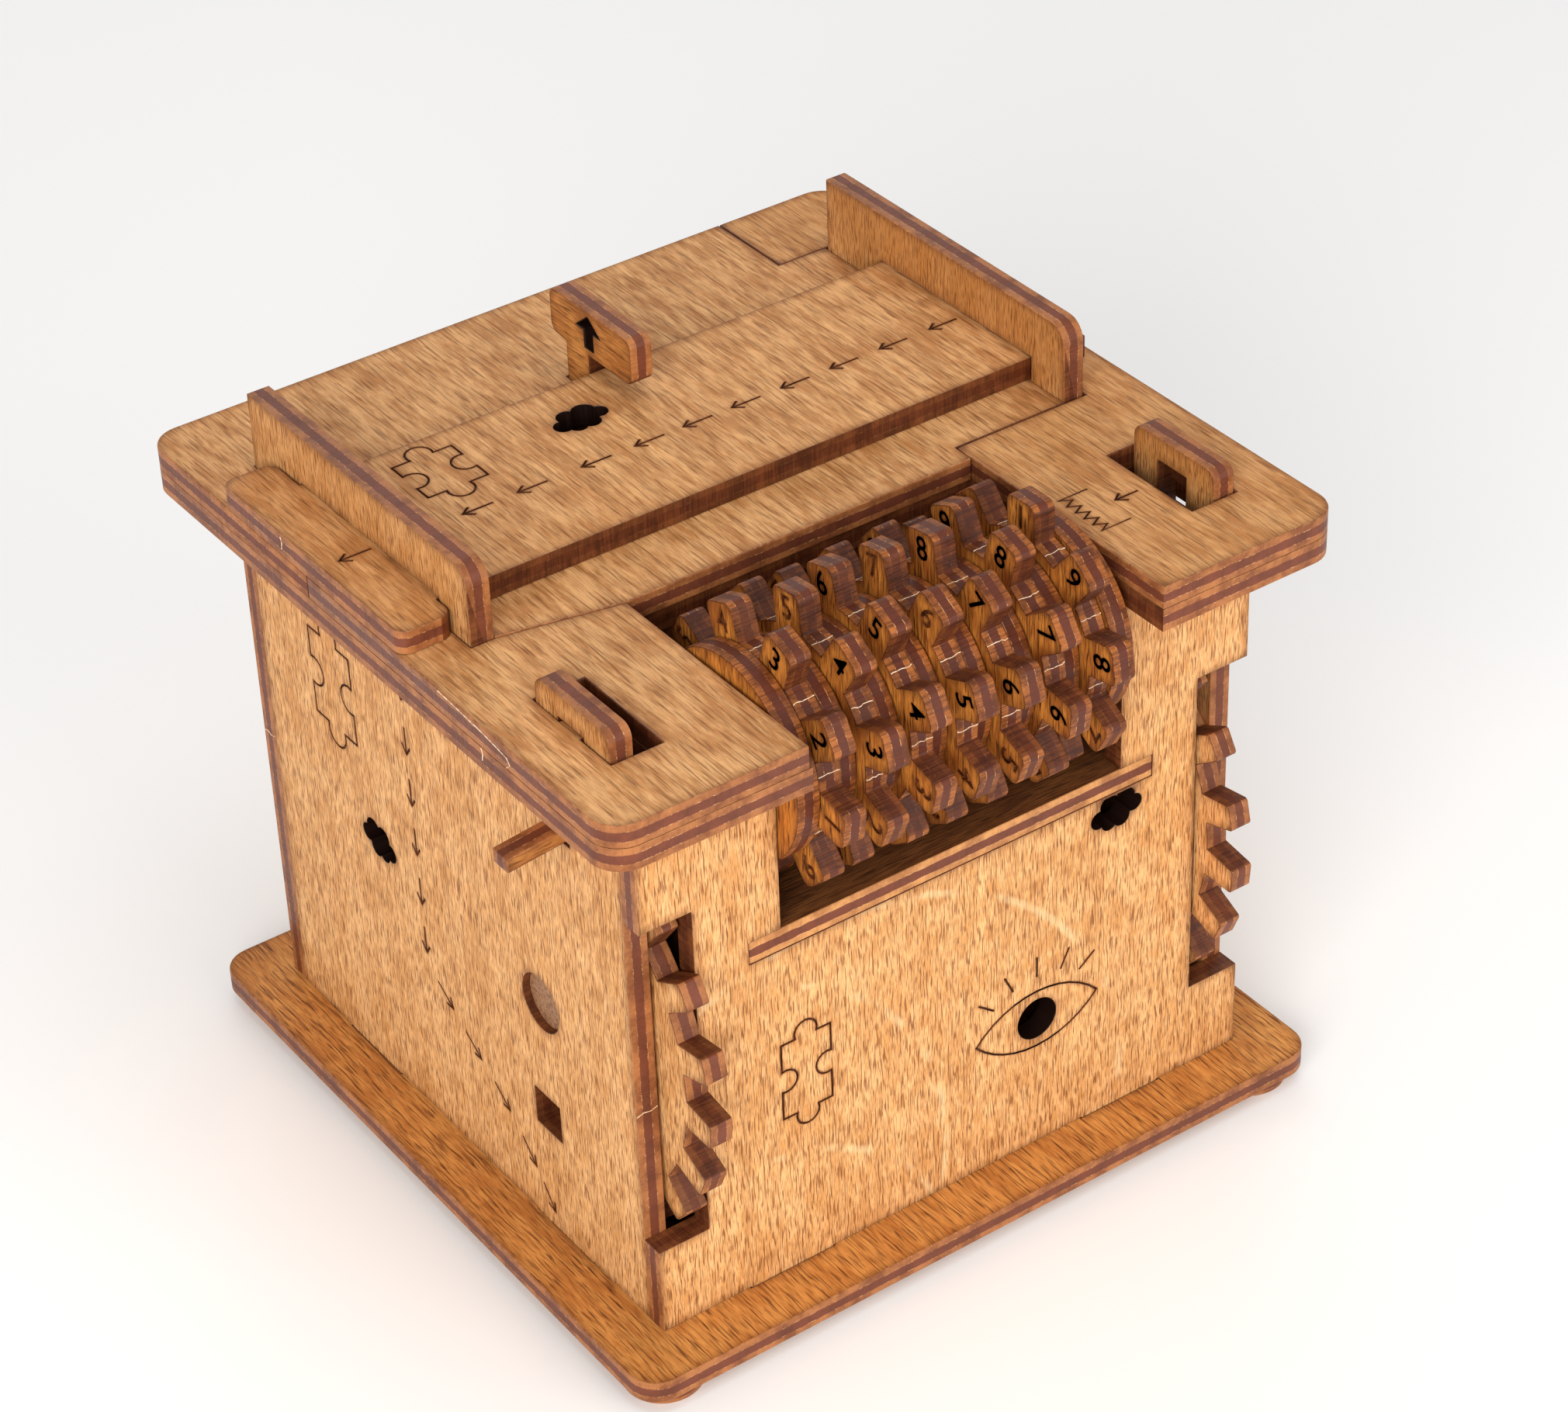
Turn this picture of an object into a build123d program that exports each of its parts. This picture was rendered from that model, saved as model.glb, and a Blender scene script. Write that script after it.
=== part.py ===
from build123d import *
import os

# Wooden puzzle box cut from flat plywood, with a row of numbered code rings,
# two thumb wheels, a sliding lid, a lock pin, a push rod and two corner plates.
# Units are millimetres.  While the pieces are drawn, x = 0 is the outer face of
# the left wall, y = 0 the outer face of the front wall and z = 0 the top of the
# base plate; place() then puts the origin under the middle of the whole part.

os.makedirs("parts", exist_ok=True)

# ---- sheet and overall sizes ------------------------------------------------
ply = 3.0            # thickness of every board
body_w = 87.0        # left wall to right wall, outside
body_d = 86.0        # front wall to back wall, outside
wall_h = 74.4        # base plate to the underside of the top
over = 7.3           # how far base and top stand out past the walls
corner_r = 4.0       # rounded corners of base and top
foot_r = 5.0
foot_h = 2.0
fit = 0.05           # gap on each side of a glued tenon
slide = 0.15         # gap on each side of a moving board
deck_z = wall_h + 2 * ply

# ---- tenons of the walls ------------------------------------------------------
tenon_w = 12.0
front_tenons = (12.5, 62.5)      # start of each tenon along x
side_tenons = (15.0, 59.0)       # start of each tenon along y
top_tenon_w = 7.0
top_tenons = (6.0, 74.0)         # tenons of front and back wall into the top

# ---- side walls: rail and staple that rise through the top -------------------
rail_y0, rail_y1 = 31.2, 79.4
rail_up = 10.0
rail_round = 2.6
staple_y0, staple_y1 = 3.4, 18.0
staple_up = 3.5
staple_gap_y0, staple_gap_y1 = 8.5, 13.5
square_y, square_z, square_w = 22.8, 17.9, 5.4
staple_gap_z0 = wall_h - 0.3
staple_gap_z1 = deck_z + 0.4

# ---- window, shelf and drum ----------------------------------------------------
window_x0, window_x1 = 18.8, 67.8
shelf_top = 50.9
shelf_x0, shelf_x1 = 14.4, 72.6
shelf_back = 28.4
cross_y = 28.6                   # front face of the inner cross wall
drum_y, drum_z = 8.9, 69.8
axle_r = 3.0
turn_fit = 0.08                  # gap between an axle and a turning disc
ring_x0 = 22.2
ring_pitch = 6.3
ring_count = 7
ring_tabs = 9
ring_r = 12.5
tab_tip_r = 17.1
tab_w = 5.1
spacer_r = 11.2
end_r = 12.9
drum_collar_r = 4.1
end_gap = 0.2             # play between the outer rings and the end discs
ring_turns = (31.0, 17.0, 25.5, 21.0, 18.0, 33.5, 10.5)

# ---- thumb wheels ----------------------------------------------------------------
wheel_y, wheel_z = 22.5, 35.0
wheel_tip_r = 29.4
wheel_root_r = 24.7
wheel_teeth = 20
wheel_turn = 5.0                 # how far both wheels are turned
wheel_axle_r = 3.8               # the left one fills a round hole in the wall
wheel_x_left = 3.6
axle_recess = 1.0                # how deep the axle's end lies in the left wall
wheel_x_right = 79.8
notch_w = 7.0
notch_z0, notch_z1 = 12.3, 58.9
collar_r = 6.0

# ---- top: window, corner plates and deck ----------------------------------------
top_window_x0, top_window_x1 = 18.5, 67.6
top_window_back = 27.9
lip = 0.4                        # lower layer stands out under the left plate
seam_y = 30.9
seam_back_x, seam_back_y = 76.7, 79.7
side_seam_y = 55.0               # seam hidden under the end of the lid
slot_w = 6.7
slot_y0, slot_y1 = 3.0, 18.4
catch = 0.9                      # part of the corner plate under the staple
gap = 0.1                        # seam between a corner plate and the deck

# ---- sliding lid and lock pin ------------------------------------------------------
lid_y0, lid_y1 = 37.7, 67.9
lid_end_y0, lid_end_y1 = 34.0, 74.2
lid_right = 92.5
lid_lift = 0.1
hatch_x0, hatch_x1 = 13.0, 74.0
hatch_y0, hatch_y1 = 41.5, 64.0
pin_x = 40.6
pin_stem_y0, pin_stem_y1 = 68.5, 73.6
pin_bar_y0, pin_bar_y1 = 59.0, 76.8
pin_bar_z0, pin_bar_z1 = 5.1, 11.4
pin_travel = 8.0
key_len = 9.0

# ---- push rod -----------------------------------------------------------------------
rod_x0, rod_x1 = -8.0, 12.8
rod_y0 = 13.3
rod_z0 = 64.0
rod_h = 1.9
rod_droop = 0.8                  # the outer end hangs this much lower


def box(x0, x1, y0, y1, z0, z1):
    """Block between two corners."""
    mid = Pos((x0 + x1) / 2, (y0 + y1) / 2, (z0 + z1) / 2)
    return mid * Box(x1 - x0, y1 - y0, z1 - z0)


def along_x(x0, length, y, z, face):
    """Push a flat shape, drawn with its own x = +y and y = +z, along +x."""
    side = Plane(origin=(x0, y, z), x_dir=(0, 1, 0), z_dir=(1, 0, 0))
    return extrude(side * face, amount=length)


def rod_along_x(x0, x1, y, z, r):
    """Round bar along x."""
    return along_x(x0, x1 - x0, y, z, Circle(r))


def flat(points, z0, z1):
    """Flat board with a straight-sided outline."""
    return Pos(0, 0, z0) * extrude(make_face(Polyline(*points, close=True)), amount=z1 - z0)


def cloud(w):
    """Puffy key-hole outline, w wide."""
    face = Ellipse(0.34 * w, 0.24 * w)
    for dx, dy, r in ((-0.34, -0.05, 0.16), (-0.14, 0.15, 0.18), (0.16, 0.15, 0.2),
                      (0.35, 0.0, 0.15), (0.1, -0.17, 0.16), (-0.14, -0.17, 0.15)):
        face += Pos(dx * w, dy * w) * Circle(r * w)
    return face


def round_corner_cut(x, y, sx, sy, z0, z1):
    """Waste outside a rounded plate corner at x, y; sx, sy point outwards."""
    square = box(min(x, x - sx * corner_r), max(x, x - sx * corner_r),
                 min(y, y - sy * corner_r), max(y, y - sy * corner_r), z0, z1)
    centre = Pos(x - sx * corner_r, y - sy * corner_r, (z0 + z1) / 2)
    return square - centre * Cylinder(corner_r, z1 - z0 + 1)


def plate_corners(z0, z1):
    """Waste at the four outer corners of base or top."""
    cuts = []
    for x, sx in ((-over, -1), (body_w + over, 1)):
        for y, sy in ((-over, -1), (body_d + over, 1)):
            cuts.append(round_corner_cut(x, y, sx, sy, z0, z1))
    return cuts


def place(shape):
    """Move a piece from the drawing frame to the part's own frame."""
    mid_x = (rod_x0 + body_w + over) / 2
    mid_y = (min(piece.bounding_box().min.Y for piece in parts.values()) + body_d + over) / 2
    return Pos(-mid_x, -mid_y, foot_h + ply) * shape


parts = {}

# ---- base plate and feet ---------------------------------------------------------
base = box(-over, body_w + over, -over, body_d + over, -ply, 0)
for waste in plate_corners(-ply, 0):
    base -= waste
for x in front_tenons:
    for y in (0, body_d - ply):
        base -= box(x - fit, x + tenon_w + fit, y - fit, y + ply + fit, -ply, 0)
for y in side_tenons:
    for x in (0, body_w - ply):
        base -= box(x - fit, x + ply + fit, y - fit, y + tenon_w + fit, -ply, 0)
parts["base_plate"] = base
feet = {"foot_front_left": (-over + 6, -over + 6), "foot_front_right": (body_w + over - 6, -over + 6),
        "foot_back_left": (-over + 6, body_d + over - 6),
        "foot_back_right": (body_w + over - 6, body_d + over - 6)}
for name, (x, y) in feet.items():
    parts[name] = Pos(x, y, -ply - foot_h / 2) * Cylinder(foot_r, foot_h)

# ---- front wall ---------------------------------------------------------------------
front = box(0, body_w, 0, ply, 0, wall_h)
for x in front_tenons:
    front += box(x, x + tenon_w, 0, ply, -ply, 0)
for x in top_tenons:
    front += box(x, x + top_tenon_w, 0, ply, wall_h, wall_h + ply)
front -= box(window_x0, window_x1, 0, ply, shelf_top, wall_h)
front -= box(shelf_x0 - fit, shelf_x1 + fit, 0, ply, shelf_top - ply - fit, shelf_top)
front -= box(0, notch_w, 0, ply, notch_z0, notch_z1)
front -= box(body_w - notch_w - 0.6, body_w, 0, ply, notch_z0, notch_z1)
eye_hole = Plane(origin=(55.4, 0, 19.4), x_dir=(1, 0, 0), z_dir=(0, -1, 0))
front -= extrude(eye_hole * Circle(2.9), amount=-ply)
front_cloud = Plane(origin=(67.3, 0, 45.2), x_dir=(1, 0, 0), z_dir=(0, -1, 0))
front -= extrude(front_cloud * cloud(7.6), amount=-ply) & box(0, body_w, 0, ply, 0, shelf_top - ply - 0.4)
parts["front_wall"] = front

# ---- back wall ----------------------------------------------------------------------
back = box(0, body_w, body_d - ply, body_d, 0, wall_h)
for x in front_tenons:
    back += box(x, x + tenon_w, body_d - ply, body_d, -ply, 0)
for x in top_tenons:
    back += box(x, x + top_tenon_w, body_d - ply, body_d, wall_h, wall_h + ply)
parts["back_wall"] = back


def side_wall(x0):
    """Side wall with its tenons, its staple and the rail that guides the lid."""
    x1 = x0 + ply
    wall = box(x0, x1, ply, body_d - ply, 0, wall_h)
    for y in side_tenons:
        wall += box(x0, x1, y, y + tenon_w, -ply, 0)
    rail_w = rail_y1 - rail_y0
    rail_h = deck_z + rail_up - wall_h
    rail_face = Pos(0, rail_h / 2) * RectangleRounded(rail_w, rail_h, rail_round)
    rail_face += Pos(0, rail_h / 4) * Rectangle(rail_w, rail_h / 2)
    rail_face += Pos(rail_w / 4, rail_h / 2) * Rectangle(rail_w / 2, rail_h)
    wall += along_x(x0, ply, (rail_y0 + rail_y1) / 2, wall_h, rail_face)
    staple_w = staple_y1 - staple_y0
    staple_h = deck_z + staple_up - wall_h
    staple_face = Pos(0, staple_h / 2) * RectangleRounded(staple_w, staple_h, 1.6)
    staple_face += Pos(0, staple_h / 4) * Rectangle(staple_w, staple_h / 2)
    wall += along_x(x0, ply, (staple_y0 + staple_y1) / 2, wall_h, staple_face)
    wall -= box(x0, x1, staple_gap_y0, staple_gap_y1, staple_gap_z0, staple_gap_z1)
    wall -= box(x0, x1, lid_y0 - slide, lid_y1 + slide, deck_z, deck_z + ply + lid_lift + slide)
    return wall


# ---- side walls: the left one carries the openings -----------------------------------
left = side_wall(0)
left -= rod_along_x(0, ply, wheel_y, wheel_z, wheel_axle_r + fit)
left -= box(0, ply, square_y - square_w / 2, square_y + square_w / 2,
            square_z - square_w / 2, square_z + square_w / 2)
left -= along_x(0, ply, 58.2, 37.2, cloud(7.6))
left -= box(0, ply, rod_y0 - slide, rod_y0 + ply + slide, rod_z0 - rod_droop - slide, rod_z0 + rod_h + slide)
parts["left_wall"] = left
parts["right_wall"] = side_wall(body_w - ply)

# ---- inner boards ----------------------------------------------------------------------
parts["drum_shelf"] = box(shelf_x0, shelf_x1, 0, shelf_back, shelf_top - ply, shelf_top)
for name, x0 in (("partition_left", shelf_x0 - ply - fit), ("partition_right", shelf_x1 + fit)):
    board = box(x0, x0 + ply, ply, body_d - ply, 0, wall_h)
    board -= rod_along_x(x0, x0 + ply, drum_y, drum_z, axle_r)
    board -= rod_along_x(x0, x0 + ply, wheel_y, wheel_z, wheel_axle_r)
    parts[name] = board
parts["cross_wall"] = box(shelf_x0, shelf_x1, cross_y, cross_y + ply, 0, wall_h)

# ---- drum: axle, end discs, code discs and spacer discs --------------------------------
left_end = shelf_x0 - ply - fit
right_end = shelf_x1 + fit + ply
parts["drum_axle"] = rod_along_x(left_end, right_end, drum_y, drum_z, axle_r)
disc_end = ring_x0 + (ring_count - 1) * ring_pitch + ply
end_left = ring_x0 - end_gap - ply
end_right = disc_end + end_gap
sleeves = {"drum_collar_left": (left_end + ply, end_left, drum_collar_r),
           "drum_end_left": (end_left, end_left + ply, end_r),
           "drum_end_right": (end_right, end_right + ply, end_r),
           "drum_collar_right": (end_right + ply, right_end - ply, drum_collar_r)}
for name, (x0, x1, r) in sleeves.items():
    parts[name] = along_x(x0, x1 - x0, drum_y, drum_z, Circle(r) - Circle(axle_r))
for i in range(ring_count):
    x0 = ring_x0 + i * ring_pitch
    face = Circle(ring_r)
    for k in range(ring_tabs):
        tab_len = tab_tip_r - ring_r + 2
        tab = Pos(-(tab_tip_r - tab_len / 2), 0) * RectangleRounded(tab_len, tab_w, 1.1)
        face += Rot(0, 0, -(ring_turns[i] + k * 360 / ring_tabs)) * tab
    face -= Circle(axle_r + turn_fit)
    parts[f"code_disc_{i + 1}"] = along_x(x0, ply, drum_y, drum_z, face)
    if i < ring_count - 1:
        plain = Circle(spacer_r) - Circle(axle_r + turn_fit)
        parts[f"spacer_disc_{i + 1}"] = along_x(x0 + ply, ply, drum_y, drum_z, plain)


def wheel_face(turn):
    """Toothed wheel outline with straight-sided teeth."""
    face = Circle(wheel_root_r)
    tooth = make_face(Polyline((-wheel_root_r + 1, 2.1), (-wheel_tip_r + 0.3, 1.75), (-wheel_tip_r, 1.45),
                               (-wheel_tip_r, -1.45), (-wheel_tip_r + 0.3, -1.75),
                               (-wheel_root_r + 1, -2.1), close=True))
    for k in range(wheel_teeth):
        face += Rot(0, 0, turn + k * 360 / wheel_teeth) * tooth
    return face - Circle(wheel_axle_r + turn_fit)


# ---- thumb wheels, their axles and spacers -------------------------------------------------
parts["thumb_wheel_left"] = along_x(wheel_x_left, ply, wheel_y, wheel_z, wheel_face(wheel_turn))
parts["thumb_wheel_right"] = along_x(wheel_x_right, ply, wheel_y, wheel_z, wheel_face(wheel_turn))
parts["wheel_axle_left"] = rod_along_x(axle_recess, shelf_x0 - fit, wheel_y, wheel_z, wheel_axle_r)
parts["wheel_axle_right"] = rod_along_x(shelf_x1 + fit, body_w - ply - 0.2, wheel_y, wheel_z, wheel_axle_r)
collar = Circle(collar_r) - Circle(wheel_axle_r)
first = wheel_x_left + ply + 0.2
parts["wheel_spacer_left"] = along_x(first, left_end - first, wheel_y, wheel_z, collar)
parts["wheel_spacer_right"] = along_x(right_end, wheel_x_right - 0.2 - right_end, wheel_y, wheel_z, collar)

# ---- top: lower layer -------------------------------------------------------------------
rail_hole_y0 = rail_y0 - fit
rail_hole_y1 = rail_y1 + fit
lower = box(-over, body_w + over, -over, body_d + over, wall_h, wall_h + ply)
lower -= box(top_window_x0 + lip, top_window_x1, -over, top_window_back + 0.3, wall_h, wall_h + ply)
lower -= box(hatch_x0, hatch_x1, hatch_y0, hatch_y1, wall_h, wall_h + ply)
for waste in plate_corners(wall_h, wall_h + ply):
    lower -= waste
for x in (0, body_w - ply):
    lower -= box(x - fit, x + ply + fit, rail_hole_y0, rail_hole_y1, wall_h, wall_h + ply)
for x in top_tenons:
    for y in (0, body_d - ply):
        lower -= box(x - fit, x + top_tenon_w + fit, y - fit, y + ply + fit, wall_h, wall_h + ply)
lower -= box(-gap, slot_w - gap, slot_y0, slot_y1, wall_h, wall_h + ply)
lower -= box(body_w + gap - slot_w, body_w + gap, slot_y0, slot_y1, wall_h, wall_h + ply)
pin_hole = box(pin_x - slide, pin_x + ply + slide, pin_stem_y0 - slide, pin_stem_y1 + slide, wall_h, deck_z)
parts["top_lower"] = lower - pin_hole

# ---- top: upper layer, a fixed deck between two sliding corner plates --------------------
z0, z1 = wall_h + ply, deck_z
in_left = ply
in_right = body_w - ply
deck_outline = [(top_window_x0, top_window_back), (top_window_x1 - gap, top_window_back),
                (top_window_x1 - gap, seam_y), (in_right - fit, seam_y),
                (in_right - fit, seam_back_y), (seam_back_x, seam_back_y),
                (seam_back_x, body_d + over), (-over, body_d + over), (-over, side_seam_y),
                (-fit, side_seam_y), (-fit, rail_hole_y1), (in_left + fit, rail_hole_y1),
                (in_left + fit, rail_y0)]
deck = flat(deck_outline, z0, z1)
deck -= box(hatch_x0, hatch_x1, hatch_y0, hatch_y1, z0, z1)
left_outline = [(-over, -over), (top_window_x0, -over), (top_window_x0, top_window_back - gap),
                (in_left, rail_y0 - gap - fit), (-gap, rail_y0 - gap - fit), (-gap, side_seam_y - gap),
                (-over, side_seam_y - gap)]
right_outline = [(top_window_x1, -over), (body_w + over, -over), (body_w + over, body_d + over),
                 (seam_back_x + gap, body_d + over), (seam_back_x + gap, seam_back_y + gap),
                 (body_w + gap, seam_back_y + gap), (body_w + gap, seam_y - gap),
                 (top_window_x1, seam_y - gap)]
left_plate = flat(left_outline, z0 + 0.03, z1)
right_plate = flat(right_outline, z0 + 0.03, z1)
left_plate -= box(-gap, slot_w - gap, slot_y0, slot_y1, z0, z1)
right_plate -= box(body_w + gap - slot_w, body_w + gap, slot_y0, slot_y1, z0, z1)
catch_y0 = staple_gap_y0 + 0.3
catch_y1 = staple_gap_y1 - 0.3
left_plate += box(-gap, catch, catch_y0, catch_y1, z0 + 0.03, z1)
right_plate += box(body_w - catch, body_w + gap, catch_y0, catch_y1, z0 + 0.03, z1)
for waste in plate_corners(z0, z1):
    deck -= waste
    left_plate -= waste
    right_plate -= waste
parts["top_deck"] = deck - pin_hole
parts["corner_plate_left"] = left_plate
parts["corner_plate_right"] = right_plate

# ---- sliding lid -------------------------------------------------------------------------
lid_z0 = deck_z + lid_lift
lid = box(-over, lid_right, lid_y0, lid_y1, lid_z0, lid_z0 + ply)
end_face = Pos(-over / 2 - 0.15, (lid_end_y0 + lid_end_y1) / 2, lid_z0)
lid += extrude(end_face * RectangleRounded(over - 0.3, lid_end_y1 - lid_end_y0, 1.6), amount=ply)
lid -= extrude(Pos(33.6, 60.0, lid_z0) * cloud(7.6), amount=ply)
parts["sliding_lid"] = lid

# ---- lock pin and its key ------------------------------------------------------------------
bar_mid = (pin_bar_y0 + pin_bar_y1) / 2
bar_h = pin_bar_z1 - pin_bar_z0
pin_low = wall_h - pin_travel - ply - 2.2
bar_face = Pos(0, bar_h / 2) * RectangleRounded(pin_bar_y1 - pin_bar_y0, bar_h, 1.4)
pin = along_x(pin_x, ply, bar_mid, deck_z + pin_bar_z0, bar_face)
pin += box(pin_x, pin_x + ply, pin_stem_y0, pin_stem_y1, pin_low, deck_z + pin_bar_z0 + 1)
arrow = make_face(Polyline((-2.4, 0.4), (0, 2.3), (2.4, 0.4), (0.9, 0.4), (0.9, -2.2), (-0.9, -2.2),
                           (-0.9, 0.4), close=True))
pin -= along_x(pin_x, ply, bar_mid + 0.4, deck_z + pin_bar_z0 + bar_h / 2, arrow)
key_y = (pin_stem_y0 + pin_stem_y1) / 2
key_box = box(pin_x + ply / 2 - key_len / 2, pin_x + ply / 2 + key_len / 2, key_y - 1.4, key_y + 1.4,
              wall_h - pin_travel - ply - 0.2, wall_h - pin_travel - 0.2)
parts["lock_pin"] = pin - key_box
parts["lock_pin_key"] = key_box

# ---- push rod ----------------------------------------------------------------------------------
side = Plane(origin=(0, rod_y0 + ply, 0), x_dir=(1, 0, 0), z_dir=(0, -1, 0))
bar = Polyline((-0.4, rod_z0 + rod_h), (rod_x0, rod_z0 + rod_h - rod_droop), (rod_x0, rod_z0 - rod_droop),
               (-0.4, rod_z0), (rod_x1, rod_z0), (rod_x1, rod_z0 + rod_h), close=True)
parts["push_rod"] = extrude(side * make_face(bar), amount=ply)
rod_hole = box(shelf_x0 - 2 * ply, shelf_x0, rod_y0 - slide, rod_y0 + ply + slide,
               rod_z0 - slide, rod_z0 + rod_h + slide)
parts["partition_left"] -= rod_hole

for name, shape in parts.items():
    export_step(place(shape), f"parts/{name}.step")
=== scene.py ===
import math
import random
from contextlib import contextmanager

import bmesh
import bpy
from mathutils import Matrix, Vector


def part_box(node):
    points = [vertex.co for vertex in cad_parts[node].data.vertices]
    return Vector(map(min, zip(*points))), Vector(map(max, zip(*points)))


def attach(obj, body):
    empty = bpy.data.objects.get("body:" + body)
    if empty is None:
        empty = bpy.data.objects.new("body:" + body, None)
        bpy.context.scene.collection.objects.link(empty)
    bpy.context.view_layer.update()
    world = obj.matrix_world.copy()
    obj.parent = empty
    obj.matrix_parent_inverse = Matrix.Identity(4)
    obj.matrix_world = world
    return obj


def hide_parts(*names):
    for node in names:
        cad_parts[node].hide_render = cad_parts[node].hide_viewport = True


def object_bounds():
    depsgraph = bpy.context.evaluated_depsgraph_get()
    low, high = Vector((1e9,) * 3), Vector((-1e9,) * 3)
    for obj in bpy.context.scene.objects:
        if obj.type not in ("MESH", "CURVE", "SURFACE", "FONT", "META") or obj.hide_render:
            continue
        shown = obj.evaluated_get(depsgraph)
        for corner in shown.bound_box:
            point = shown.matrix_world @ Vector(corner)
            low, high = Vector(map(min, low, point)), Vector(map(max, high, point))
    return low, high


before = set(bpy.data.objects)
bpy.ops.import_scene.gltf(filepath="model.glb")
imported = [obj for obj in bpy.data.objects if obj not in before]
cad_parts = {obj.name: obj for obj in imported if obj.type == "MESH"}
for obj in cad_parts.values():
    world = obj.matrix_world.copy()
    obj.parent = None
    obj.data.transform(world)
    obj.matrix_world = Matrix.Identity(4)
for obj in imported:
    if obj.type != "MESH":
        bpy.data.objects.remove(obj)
cad_low, cad_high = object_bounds()

MM = 0.001
UP, FRONT, LEFT = (0, 0, 1), (0, -1, 0), (-1, 0, 0)      # ways in which faces of the box look

# Corner where the outer faces of left and front wall meet the base plate.
# at(x, y, z) counts millimetres from it: right, back and up.
corner = Vector((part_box("left_wall")[0].x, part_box("front_wall")[0].y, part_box("base_plate")[1].z))
body_w = (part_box("right_wall")[1].x - corner.x) / MM
body_d = (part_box("back_wall")[1].y - corner.y) / MM
deck_top = (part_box("top_deck")[1].z - corner.z) / MM
lid_top = (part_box("sliding_lid")[1].z - corner.z) / MM


def at(x, y, z):
    """Point of the box, in metres in the part's frame."""
    return corner + Vector((x, y, z)) * MM


@contextmanager
def editing(mesh):
    """A bmesh of that mesh, written back at the end."""
    bm = bmesh.new()
    bm.from_mesh(mesh)
    yield bm
    bm.to_mesh(mesh)
    bm.free()


# ---- node trees -----------------------------------------------------------------

def srgb(red, green, blue):
    """Linear colour of an 8-bit display colour."""
    linear = []
    for value in (red, green, blue):
        share = value / 255
        linear.append(share / 12.92 if share <= 0.04045 else ((share + 0.055) / 1.055) ** 2.4)
    return (*linear, 1.0)


class Shading:
    """A material's node tree with short calls for the nodes that wood needs."""

    def __init__(self, name):
        self.material = bpy.data.materials.new(name)
        self.material.use_nodes = True
        self.tree = self.material.node_tree
        self.tree.nodes.clear()

    def plug(self, socket, value):
        """Link a socket to another node's output, or set its own value."""
        if isinstance(value, bpy.types.NodeSocket):
            self.tree.links.new(value, socket)
        else:
            socket.default_value = value

    def node(self, kind, output=0, settings=(), **inputs):
        """Add a node; inputs are socket names with underscores for spaces."""
        made = self.tree.nodes.new(kind)
        for name, value in dict(settings).items():
            setattr(made, name, value)
        for name, value in inputs.items():
            self.plug(made.inputs[name.replace("_", " ")], value)
        return made.outputs[output]

    def separate(self, vector):
        """The three numbers of a vector."""
        made = self.tree.nodes.new("ShaderNodeSeparateXYZ")
        self.plug(made.inputs[0], vector)
        return made.outputs

    def math(self, operation, *values):
        """Sum, product or other calculation on numbers."""
        made = self.tree.nodes.new("ShaderNodeMath")
        made.operation = operation
        for i, value in enumerate(values):
            self.plug(made.inputs[i], value)
        return made.outputs[0]

    def blend(self, share, first, second, mode="MIX"):
        """Colour between two colours."""
        made = self.tree.nodes.new("ShaderNodeMix")
        made.data_type = "RGBA"
        made.blend_type = mode
        self.plug(made.inputs[0], share)
        self.plug(made.inputs[6], first)
        self.plug(made.inputs[7], second)
        return made.outputs[2]

    def ease(self, value, low, high, start=0.0, end=1.0):
        """Smooth step from start to end while value goes from low to high."""
        made = self.tree.nodes.new("ShaderNodeMapRange")
        made.interpolation_type = "SMOOTHSTEP"
        for i, item in enumerate((value, low, high, start, end)):
            self.plug(made.inputs[i], item)
        return made.outputs[0]

    def stretched(self, u, v, w, sizes):
        """Coordinates in which a pattern repeats every sizes millimetres along u, v and w."""
        parts = [self.math("MULTIPLY", value, 1.0 / size) for value, size in zip((u, v, w), sizes)]
        return self.node("ShaderNodeCombineXYZ", X=parts[0], Y=parts[1], Z=parts[2])

    def noise(self, vector, detail=2.0, roughness=0.5):
        """Cloudy pattern with values round 0.5."""
        return self.node("ShaderNodeTexNoise", Vector=vector, Scale=1.0, Detail=detail,
                         Roughness=roughness)

    def finish(self, colour, roughness, height, bump=0.3, depth=0.0001, specular=0.4):
        """Principled surface with a bump of that height map."""
        normal = self.node("ShaderNodeBump", Strength=bump, Distance=depth, Height=height)
        surface = self.node("ShaderNodeBsdfPrincipled", Base_Color=colour, Roughness=roughness,
                            Normal=normal, Specular_IOR_Level=specular)
        out = self.tree.nodes.new("ShaderNodeOutputMaterial")
        self.tree.links.new(surface, out.inputs["Surface"])
        return self.material


# Colours that every plywood shares
BROWNED_AND_SHADED = srgb(176, 112, 48)                          # veneer where the tone is full; on the rails above the deck it is partly painted shade
SCUFFED = srgb(252, 222, 172)
HALO, SCORCHED = srgb(132, 74, 34), srgb(66, 32, 16)  # heat on the face beside a cut
CHAR = srgb(56, 29, 14), srgb(116, 64, 30)            # bottom of an engraved line
CORE_SHADE = srgb(66, 34, 22)
GLUE_LINE, GLUE_SEAM = srgb(214, 160, 108), srgb(206, 150, 98)
BURNT = srgb(104, 52, 25), srgb(58, 24, 11)           # cut edge inside an opening
SOOT_AND_SHADE = srgb(26, 12, 7)                                # cut edge inside a small shaped hole: char, darkened to near black as painted shade of the unlit hole
THROUGH = 9                                           # how slowly veneer changes through the board


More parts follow.
